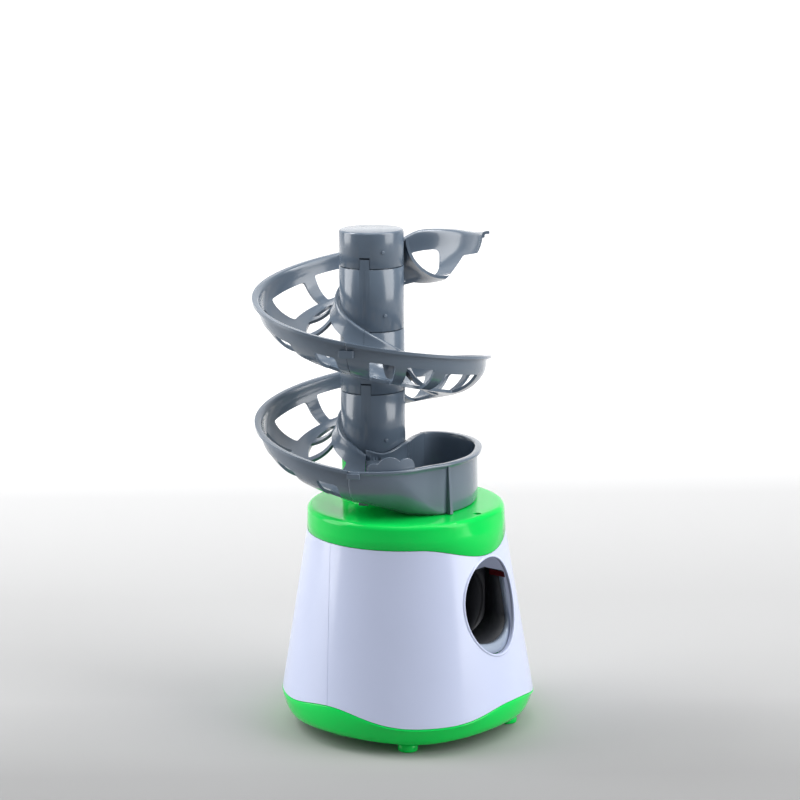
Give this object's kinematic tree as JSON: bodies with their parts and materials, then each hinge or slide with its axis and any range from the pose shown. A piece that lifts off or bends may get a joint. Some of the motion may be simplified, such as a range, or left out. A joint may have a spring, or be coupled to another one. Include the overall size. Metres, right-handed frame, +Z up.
{
  "type": "table tennis robot",
  "caption": "Table tennis ball server: a tapered body with a launch window, a lid with a ball hopper and a stacked spiral ball track on a central column.",
  "frame": {"origin": "middle of the bounding box at the underside of the feet", "axes": "+Z up the column, -Y the way the ball leaves through the window"},
  "size_m": [0.1524, 0.1728, 0.3007],
  "materials": {
    "green_plastic": "glossy moulded plastic",
    "white_plastic": "glossy moulded plastic",
    "grey_plastic": "glossy moulded plastic",
    "pale_grey_plastic": "satin moulded plastic",
    "black_plastic": "satin moulded plastic",
    "dark_red_plastic": "satin moulded plastic",
    "ivory_plastic": "natural acetal",
    "steel": "bright steel",
    "cell_jacket": "printed jacket without print"
  },
  "bodies": {
    "base": {"base_tray": "green_plastic", "foot_1": "green_plastic", "foot_2": "green_plastic", "foot_3": "green_plastic", "foot_4": "green_plastic", "front_shell": "white_plastic", "rear_shell": "white_plastic", "top_lid": "green_plastic", "launch_chamber": "black_plastic", "barrel_rim": "pale_grey_plastic", "motor_can": "steel", "gear_plate_left": "black_plastic", "gear_plate_right": "black_plastic", "kicker_axle": "steel", "drive_axle": "steel", "idler_axle": "steel", "kicker_spring": "steel", "cell_1": "cell_jacket", "cell_2": "cell_jacket", "cell_3": "cell_jacket", "cell_4": "cell_jacket", "contact_left_1": "steel", "contact_left_2": "steel", "contact_right_1": "steel", "contact_right_2": "steel", "switch_body": "black_plastic", "screw_1": "steel", "screw_2": "steel", "screw_3": "steel", "screw_4": "steel"},
    "hopper": {"hopper": "grey_plastic", "hopper_guard": "grey_plastic"},
    "track_module_1": {"track_module_1": "grey_plastic"},
    "track_module_2": {"track_module_2": "grey_plastic"},
    "track_module_3": {"track_module_3": "grey_plastic"},
    "top_chute": {"top_chute": "grey_plastic"},
    "kicker": {"kicker": "dark_red_plastic"},
    "drive_wheel": {"drive_wheel": "ivory_plastic"},
    "idler_gear": {"idler_gear": "ivory_plastic"},
    "motor_pinion": {"motor_pinion": "steel"},
    "power_button": {"power_button": "green_plastic"},
    "battery_door": {"battery_door": "green_plastic"}
  },
  "joints": [
    {"name": "hopper_lift", "type": "slide", "parent": "base", "child": "hopper", "axis": [0, 0, 1], "range_m": [0, 0.06]},
    {"name": "track_module_1_lift", "type": "slide", "parent": "hopper", "child": "track_module_1", "axis": [0, 0, 1], "range_m": [0, 0.04]},
    {"name": "track_module_2_lift", "type": "slide", "parent": "track_module_1", "child": "track_module_2", "axis": [0, 0, 1], "range_m": [0, 0.04]},
    {"name": "track_module_3_lift", "type": "slide", "parent": "track_module_2", "child": "track_module_3", "axis": [0, 0, 1], "range_m": [0, 0.04]},
    {"name": "top_chute_lift", "type": "slide", "parent": "track_module_3", "child": "top_chute", "axis": [0, 0, 1], "range_m": [0, 0.04]},
    {"name": "drive_wheel_turn", "type": "hinge", "parent": "base", "child": "drive_wheel", "pos_m": [0, 0.02364, 0.0984], "axis": [-1, 0, 0], "range_deg": [0, 14]},
    {"name": "kicker_swing", "type": "hinge", "parent": "base", "child": "kicker", "pos_m": [0, -0.0008, 0.108], "axis": [-1, 0, 0], "range_deg": [-21, 0]},
    {"name": "idler_gear_turn", "type": "hinge", "parent": "base", "child": "idler_gear", "pos_m": [0, 0.028, 0.0748], "axis": [-1, 0, 0], "range_deg": [-42, 0]},
    {"name": "motor_pinion_turn", "type": "hinge", "parent": "base", "child": "motor_pinion", "pos_m": [0, 0.04167, 0.0602], "axis": [-1, 0, 0], "range_deg": [0, 126]},
    {"name": "power_button_press", "type": "slide", "parent": "base", "child": "power_button", "axis": [0, -1, 0], "range_m": [0, 0.002], "stiffness_N_per_m": 400},
    {"name": "battery_door_drop", "type": "slide", "parent": "base", "child": "battery_door", "axis": [0, 0, -1], "range_m": [0, 0.006]}
  ],
  "couplings": [
    {"joint": "kicker_swing", "follows": "drive_wheel_turn", "ratio": -1.5},
    {"joint": "idler_gear_turn", "follows": "drive_wheel_turn", "ratio": -3},
    {"joint": "motor_pinion_turn", "follows": "drive_wheel_turn", "ratio": 9}
  ]
}
